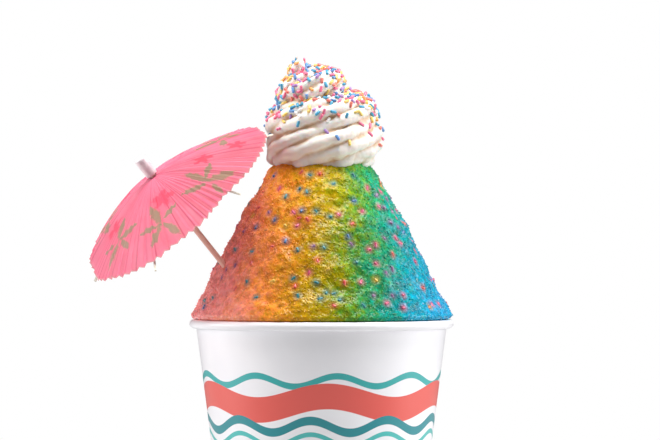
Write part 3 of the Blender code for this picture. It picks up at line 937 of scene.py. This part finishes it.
def makeRope():
    last = ropeStations[-1][0]
    sides = cream["sides"]
    points, faces = [], []
    for i in range(cream["rings"] + 1):
        turns = last * i / cream["rings"]
        centre = ropePoint(turns)
        along = (ropePoint(min(last, turns + 0.01)) - ropePoint(max(0, turns - 0.01))).normalized()
        angle = math.radians(cream["startAngle"]) + 2 * math.pi * turns
        outward = Vector((math.cos(angle), math.sin(angle), 0))
        outward = (outward - along * outward.dot(along)).normalized()
        across = along.cross(outward)
        radius = station(turns)[1]
        for j in range(sides):
            around = 2 * math.pi * j / sides
            phase = math.pi * cream["twist"] * cream["lobes"] * turns
            lobe = abs(math.sin(cream["lobes"] / 2 * around + phase))
            spot = centre + outward * radius * math.cos(around) + across * radius * math.sin(around)
            groove = cream["groove"] * (0.75 + 0.6 * noise.noise(spot / cream["grooveChange"]))
            points.append(centre.lerp(spot, 1 - groove * (1 - lobe**0.7)))
        if i:
            low, high = (i - 1) * sides, i * sides
            for j in range(sides):
                k = (j + 1) % sides
                faces.append((low + j, low + k, high + k, high + j))
    faces.append(tuple(reversed(range(sides))))
    faces.append(tuple(range(cream["rings"] * sides, (cream["rings"] + 1) * sides)))
    return pieceFrom("creamSwirl", points, faces)


def creamUnevenness(place):
    # soft dents all over, and lobes round the foot where the cream has sunk onto the ice
    angle = math.atan2(place.y, place.x)
    foot = min(1, max(0, (cream["footTop"] - place.z) / cream["footHeight"]))
    lobe = max(0, math.sin(cream["footLobes"] * angle + 1.5 * math.sin(2 * angle)))
    dents = sum(depth * noise.noise(place / size) for depth, size in cream["dents"])
    return dents + cream["footSwell"] * lobe * foot


def makeCream():
    rope = makeRope()
    top = ropeStations[5][3] * mm
    bottom = ice["browHeight"]
    wide = cream["coreRadius"]
    core = spinProfile("core", [(0, top), (wide / 2, top), (wide, bottom), (0, bottom)], 48)
    deselectAll()
    core.select_set(True)
    rope.select_set(True)
    bpy.context.view_layer.objects.active = rope
    bpy.ops.object.join()
    applied(rope, "REMESH", mode="VOXEL", voxel_size=cream["voxel"], adaptivity=0)
    applied(rope, "SMOOTH", factor=0.5, iterations=6)
    pushOut(rope, creamUnevenness)
    addFoldShade(rope)
    smoothByAngle(rope, 70)
    return rope


def whippedCream():
    # dairy cream, piped cold: satin, slightly yellow, light sinks in a few millimetres
    made, tree, shader = startMaterial(
        "whippedCream",
        {
            "Roughness": 0.42,
            "IOR": 1.45,
            "Subsurface Weight": 0.6,
            "Subsurface Radius": (1.0, 0.62, 0.4),
            "Subsurface Scale": 2.4 * mm,
            "Coat Weight": 0.12,
            "Coat Roughness": 0.3,
        },
    )
    place = addNode(tree, "ShaderNodeTexCoord").outputs["Object"]
    cloud = addNode(tree, "ShaderNodeTexNoise", {"Scale": 140, "Detail": 3}, {"Vector": place})
    fold = addNode(tree, "ShaderNodeAttribute", attribute_name="fold")
    depth = addNode(
        tree,
        "ShaderNodeMath",
        {1: 0.25},
        {0: cloud.outputs["Fac"], 2: fold.outputs["Fac"]},
        operation="MULTIPLY_ADD",
    )
    shade = addNode(  # painted shade: folds are drawn darker and warmer, the warm tint standing for light thrown up from the syrup; ridges stay white
        tree,
        "ShaderNodeValToRGB",
        links={"Fac": depth.outputs[0]},
        stops=((0.48, linear("ebe4dd")), (0.74, linear("e6d6c4")), (0.98, linear("dab896"))),
    )
    foam = addNode(tree, "ShaderNodeTexNoise", {"Scale": 1800, "Detail": 3}, {"Vector": place})
    finishShader(tree, shader, shade.outputs["Color"], foam.outputs["Fac"], 0.3, 0.1 * mm)
    return made


def creamTops(points, normals):
    # thrown on from above: thick on the top, thinner down the sides, hardly any under the folds
    height = np.clip((points[:, 2] - cream["rodsFrom"]) / cream["rodsRise"], 0, 1)
    facing = np.clip(normals[:, 2] + 0.8, 0, 1)
    right = np.clip((points[:, 0] - 2 * mm) / (8 * mm), 0, 1)
    return (0.02 + height**2 + 0.1 * right) * facing * (points[:, 2] > ice["crownHeight"] + 3 * mm)


def addFoldShade(piece):
    # how deep each point lies in a fold, from how far its neighbourhood stands above it; the cream's
    # material paints shade into the folds by it
    mesh = piece.data
    count = len(mesh.vertices)
    points, normals = vertexRows(mesh), vertexRows(mesh, "normal")
    ends = np.empty(len(mesh.edges) * 2, int)
    mesh.edges.foreach_get("vertices", ends)
    ends = ends.reshape(-1, 2)
    both = np.concatenate((ends, ends[:, ::-1]))
    degree = np.bincount(both[:, 0], minlength=count)
    level = points
    for _ in range(cream["foldRounds"]):
        sums = [np.bincount(both[:, 0], level[both[:, 1], i], count) for i in range(3)]
        level = np.stack(sums, 1) / degree[:, None]
    depth = ((level - points) * normals).sum(1) / cream["foldDepth"]
    mesh.attributes.new("fold", "FLOAT", "POINT").data.foreach_set("value", np.clip(0.5 + depth, 0, 1))


swirl = makeCream()
spots, normals = surfaceSpots(swirl, cream["rods"], rng, creamTops, cream["rodSpacing"])
turns = layingTurns(normals, rng, cream["rodTilt"])
creamRods = stampCopies("creamSugarRods", rod, spots + normals * cream["rodLift"], turns)
shares = np.array([cream["dyeShares"][name] for name in rodDyes], float)
creamDyes = [list(rodDyes)[i] for i in rng.choice(len(shares), len(spots), p=shares / shares.sum())]
dressRods(creamRods, rod, creamDyes, False)
finishPiece(swirl, whippedCream(), "whipped_cream", "cream")
print("cream is ready")


# Paper parasol: pleated tissue on split wood ribs, a round pick and a cloudy tube on its end
# the print on the flat paper, in mm: sprigs by centre and direction, then the leaves of each sprig by
# place, length and direction, then flowers by centre and size
sprigs = ((15, -20, -20), (-8, -28, 80), (-24, -15, 200), (27, 9, 60), (1, 28, 150), (-25, 15, 260))
sprigLeaves = ((5, 0.5, 13, 8), (-4, 3, 11, 140), (0.5, 5, 9, 75), (-5, -3.5, 11, 205), (3, -5, 8, 300))
flowers = (
    (-2, -18, 4.4),
    (-23, -3, 4.4),
    (18, -7, 3.4),
    (12, 14, 4.2),
    (-12, 14, 4.0),
    (31, -4, 3.2),
    (-9, 31, 3.2),
)
leafInk, flowerInk = "566c4c", "d02c4a"
leafWidth = 0.16  # half a leaf's width over its length


def reach(angle):
    # how far the paper's edge is out at an angle, over the canopy's radius, eased between its places
    places = parasol["edgeReach"]
    place = angle / (2 * math.pi) * len(places) % len(places)
    i = int(place)
    here, after = places[i], places[(i + 1) % len(places)]
    return here + (after - here) * (0.5 - 0.5 * math.cos(math.pi * (place - i)))


def makePaper():
    around = parasol["pleats"] * parasol["columns"]
    rings = parasol["rings"]
    eye = parasol["eye"] / parasol["radius"]
    draw = np.random.default_rng(seed + 3)
    folds = parasol["pleats"] * 2
    jog = draw.normal(0, parasol["foldJog"], folds)  # each fold's place and height differ a little
    deep = draw.uniform(*parasol["foldDepths"], folds) * np.resize((-1, 1), folds)
    nick = draw.normal(0, parasol["edgeNick"], folds)
    uneven = draw.random(folds) ** parasol["creaseShadeSkew"]  # the strength of the painted shade on each crease, drawn at random
    points, places, faces, creases = [], [], [], []
    for i in range(rings + 1):
        share = eye + (1 - eye) * i / rings
        for j in range(around):
            fold = 2 * j / parasol["columns"]
            low = int(fold) % folds
            high = (low + 1) % folds
            part = fold - int(fold)
            swing = deep[low] * (1 - part) + deep[high] * part
            shift = (jog[low] * (1 - part) + jog[high] * part) * math.pi / parasol["pleats"]
            angle = 2 * math.pi * j / around + shift * share
            r = parasol["radius"] * share * reach(angle)
            if i == rings:
                r += nick[low] * (1 - part) + nick[high] * part
            depth = -parasol["drop"] * share ** parasol["curve"]
            depth += parasol["pleatHeight"] * share * swing
            x, y = r * math.cos(angle), r * math.sin(angle)
            points.append(parasolFrame @ Vector((x, y, depth)))
            creases.append(uneven[low] if part < 0.01 else 0)
            places.append((x / parasol["sheet"] + 0.5, y / parasol["sheet"] + 0.5, share))
        if i:
            inner, outer = (i - 1) * around, i * around
            for j in range(around):
                k = (j + 1) % around
                faces.append((inner + j, outer + j, outer + k, inner + k))
    paper = pieceFrom("parasolPaper", points, faces)
    sheet = paper.data.uv_layers.new(name="flatPaper")
    for loop in paper.data.loops:
        sheet.data[loop.index].uv = places[loop.vertex_index][:2]
    edge = paper.data.attributes.new("outward", "FLOAT", "POINT")
    edge.data.foreach_set("value", [place[2] for place in places])
    paper.data.attributes.new("crease", "FLOAT", "POINT").data.foreach_set("value", creases)
    applied(paper, "SOLIDIFY", thickness=parasol["paper"], offset=0)
    smoothByAngle(paper, 25)
    return paper


def tissuePaper():
    # dyed tissue, block printed and pleated: matt, light glows through, folds catch the light
    made, tree, shader = startMaterial(
        "printedTissuePaper",
        {
            "Roughness": 0.75,
            "IOR": 1.4,
            "Specular IOR Level": 0.25,
            "Subsurface Weight": 0.95,
            "Subsurface Radius": (1.0, 0.8, 0.8),
            "Subsurface Scale": 1.5 * mm,
        },
    )
    flat = addNode(tree, "ShaderNodeUVMap", uv_map="flatPaper").outputs["UV"]
    sheet = parasol["sheet"]
    centred = addNode(
        tree,
        "ShaderNodeMapping",
        {"Location": (-sheet / 2, -sheet / 2, 0), "Scale": (sheet, sheet, sheet)},
        {"Vector": flat},
    ).outputs["Vector"]
    fade = addNode(tree, "ShaderNodeTexNoise", {"Scale": 60, "Detail": 3}, {"Vector": centred})
    pink = addNode(
        tree,
        "ShaderNodeValToRGB",
        links={"Fac": fade.outputs["Fac"]},
        stops=((0.3, linear("d2546c")), (0.7, linear("da667e"))),
    ).outputs["Color"]
    # painted shade: each crease is darkened toward a deep pink by its drawn strength
    crease = addNode(tree, "ShaderNodeAttribute", attribute_name="crease")
    pink = addNode(
        tree,
        "ShaderNodeMix",
        {7: linear("a82e4c")},
        {0: crease.outputs["Fac"], 6: pink},
        data_type="RGBA",
    ).outputs[2]
    wobble = addNode(tree, "ShaderNodeTexNoise", {"Scale": 500, "Detail": 2}, {"Vector": centred})
    colour = pink
    shapes = []
    for x, y, turn in sprigs:
        for side, along, length, leafTurn in sprigLeaves:
            place = Vector((side, along)) @ Matrix.Rotation(-math.radians(turn), 2)
            leaf = (length / 2, length * leafWidth, turn + leafTurn, leafInk, 1)
            shapes.append((x + place.x, y + place.y, *leaf))
    shapes += [(x, y, size, size, 30, flowerInk, 5) for x, y, size in flowers]
    for x, y, halfLength, halfWidth, turn, ink, petals in shapes:
        local = addNode(
            tree,
            "ShaderNodeMapping",
            {
                "Location": (x * mm, y * mm, 0),
                "Rotation": (0, 0, math.radians(turn)),
                "Scale": (halfLength * mm, halfWidth * mm, 1),
            },
            {"Vector": centred},
            vector_type="TEXTURE",
        ).outputs["Vector"]
        parts = addNode(tree, "ShaderNodeSeparateXYZ", links={0: local}).outputs
        if petals == 1:  # a lance shaped leaf: one minus x squared, less the width
            square = addNode(
                tree, "ShaderNodeMath", links={0: parts["X"], 1: parts["X"]}, operation="MULTIPLY"
            )
            wide = addNode(tree, "ShaderNodeMath", links={0: parts["Y"]}, operation="ABSOLUTE")
            outside = addNode(
                tree, "ShaderNodeMath", links={0: square.outputs[0], 1: wide.outputs[0]}, operation="ADD"
            ).outputs[0]
        else:  # a flower: its outline swings in and out for each petal
            turned = addNode(
                tree, "ShaderNodeMath", links={0: parts["Y"], 1: parts["X"]}, operation="ARCTAN2"
            )
            swing = addNode(
                tree, "ShaderNodeMath", {1: petals}, {0: turned.outputs[0]}, operation="MULTIPLY"
            )
            swing = addNode(tree, "ShaderNodeMath", links={0: swing.outputs[0]}, operation="COSINE")
            out = addNode(tree, "ShaderNodeVectorMath", links={0: local}, operation="LENGTH")
            outside = addNode(
                tree,
                "ShaderNodeMath",
                {1: 0.28},
                {0: swing.outputs[0], 2: out.outputs["Value"]},
                operation="MULTIPLY_ADD",
            ).outputs[0]
        uneven = addNode(
            tree,
            "ShaderNodeMath",
            {1: 1.1},
            {0: wobble.outputs["Fac"], 2: outside},
            operation="MULTIPLY_ADD",
        )
        mask = addNode(
            tree,
            "ShaderNodeMapRange",
            {"From Min": 1.2, "From Max": 1.6, "To Min": 0.8, "To Max": 0},
            {"Value": uneven.outputs[0]},
        )
        colour = addNode(
            tree,
            "ShaderNodeMix",
            {7: linear(ink)},
            {0: mask.outputs["Result"], 6: colour},
            data_type="RGBA",
        ).outputs[2]
    out = addNode(tree, "ShaderNodeAttribute", attribute_name="outward").outputs["Fac"]
    # painted shade: a thin grey-brown band darkens the paper along its edge
    rim = addNode(
        tree, "ShaderNodeMapRange", {"From Min": 0.982, "From Max": 0.996, "To Max": 0.6}, {"Value": out}
    )
    colour = addNode(
        tree,
        "ShaderNodeMix",
        {7: linear("a07a74")},
        {0: rim.outputs["Result"], 6: colour},
        data_type="RGBA",
    ).outputs[2]
    crepe = addNode(tree, "ShaderNodeTexNoise", {"Scale": 1600, "Detail": 3}, {"Vector": centred})
    finishShader(tree, shader, colour, crepe.outputs["Fac"], 0.3, 0.08 * mm)
    return made


def rawWood(name, pale, dark):
    # raw split or turned wood: dull, with fine grain along the pick
    made, tree, shader = startMaterial(name, {"Roughness": 0.62, "IOR": 1.45, "Specular IOR Level": 0.35})
    back = parasolFrame.inverted()
    place = addNode(tree, "ShaderNodeTexCoord").outputs["Object"]
    local = addNode(
        tree,
        "ShaderNodeMapping",
        {"Location": back.translation, "Rotation": back.to_euler()},
        {"Vector": place},
    )
    drawnOut = addNode(
        tree, "ShaderNodeMapping", {"Scale": (1, 1, 0.06)}, {"Vector": local.outputs["Vector"]}
    ).outputs["Vector"]
    grain = addNode(tree, "ShaderNodeTexNoise", {"Scale": 2600, "Detail": 4}, {"Vector": drawnOut})
    shade = addNode(
        tree,
        "ShaderNodeValToRGB",
        links={"Fac": grain.outputs["Fac"]},
        stops=((0.3, linear(dark)), (0.7, linear(pale))),
    )
    finishShader(tree, shader, shade.outputs["Color"], grain.outputs["Fac"], 0.35, 0.08 * mm)
    return made


def makeTube():
    # thin cloudy tube pushed over the pick, its upper end sealed and drawn in a little
    low, high = parasol["capLift"], parasol["capLift"] + parasol["capLength"]
    outer, inner = parasol["capRadius"], parasol["capBore"]
    profile = [(inner, low)]
    profile += [(outer - 0.12 * mm, low), (outer, low + 0.15 * mm)]
    profile += [(outer, low + (high - low) * i / 8) for i in range(1, 8)]
    profile += [(outer - 0.1 * mm, high - 0.4 * mm), (outer - 0.35 * mm, high - 0.1 * mm)]
    profile += [(outer - 0.7 * mm, high), (0, high + 0.1 * mm), (0, high - 1.2 * mm)]
    profile += [(inner, high - 1.3 * mm), (inner, low)]
    tube = spinProfile("cloudyTube", profile, 48)
    pushOut(tube, lambda place: 0.07 * mm * noise.noise(place / (2 * mm)))
    tube.data.transform(parasolFrame)
    smoothByAngle(tube, 50)
    return tube


def cloudyPlastic():
    # extruded polythene tube: milky, half clear, soft highlights
    made, tree, shader = startMaterial(
        "cloudyPolythene",
        {"Roughness": 0.38, "IOR": 1.5, "Transmission Weight": 0.08},
    )
    place = addNode(tree, "ShaderNodeTexCoord").outputs["Object"]
    cloud = addNode(tree, "ShaderNodeTexNoise", {"Scale": 420, "Detail": 3}, {"Vector": place})
    shade = addNode(
        tree,
        "ShaderNodeValToRGB",
        links={"Fac": cloud.outputs["Fac"]},
        stops=((0.35, linear("e2d4da")), (0.65, linear("f4ecee"))),
    )
    tree.links.new(shade.outputs["Color"], shader.inputs["Base Color"])
    return made


finishPiece(makePaper(), tissuePaper(), "parasol_paper", "parasol_canopy")
finishPiece(makeTube(), cloudyPlastic(), "sleeve_plastic", "parasol_cap")
splitWood = rawWood("rawSplitWood", "f0ece0", "d8ccb8")
for node, wood in (
    ("parasol_ribs", splitWood),
    ("parasol_struts", splitWood),
    # pale wood whose colour also carries a painted pink reflection of the canopy
    ("parasol_pick", rawWood("pickWoodPinkReflection", "f8d4c4", "e8b8a6")),
):
    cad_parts[node].data.materials.clear()
    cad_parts[node].data.materials.append(wood)
print("parasol is ready")

for helper in chips + [rod]:
    bpy.data.objects.remove(helper)
bpy.context.view_layer.update()
